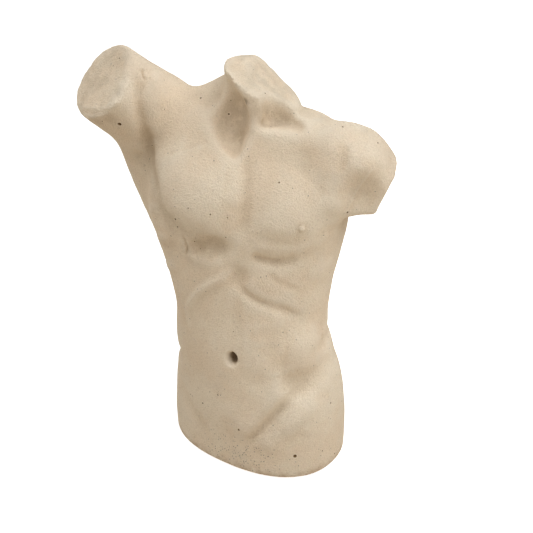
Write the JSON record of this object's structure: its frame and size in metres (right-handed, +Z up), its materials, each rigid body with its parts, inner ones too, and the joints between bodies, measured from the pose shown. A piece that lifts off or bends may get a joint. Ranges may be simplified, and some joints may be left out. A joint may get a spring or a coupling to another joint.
{
  "type": "stone bust",
  "caption": "Headless male torso cast in stone, with cut neck, one raised and one lowered arm stump, and a flat underside to stand on.",
  "frame": {"origin": "point of the flat underside below the middle of the trunk", "axes": "+X towards the figure's left, +Y towards its back, +Z up"},
  "size_m": [0.4655, 0.2267, 0.6101],
  "materials": {
    "stone": "matt cast stone, warm off-white to sand colour"
  },
  "bodies": {
    "root": {"torso": "stone"}
  },
  "joints": []
}
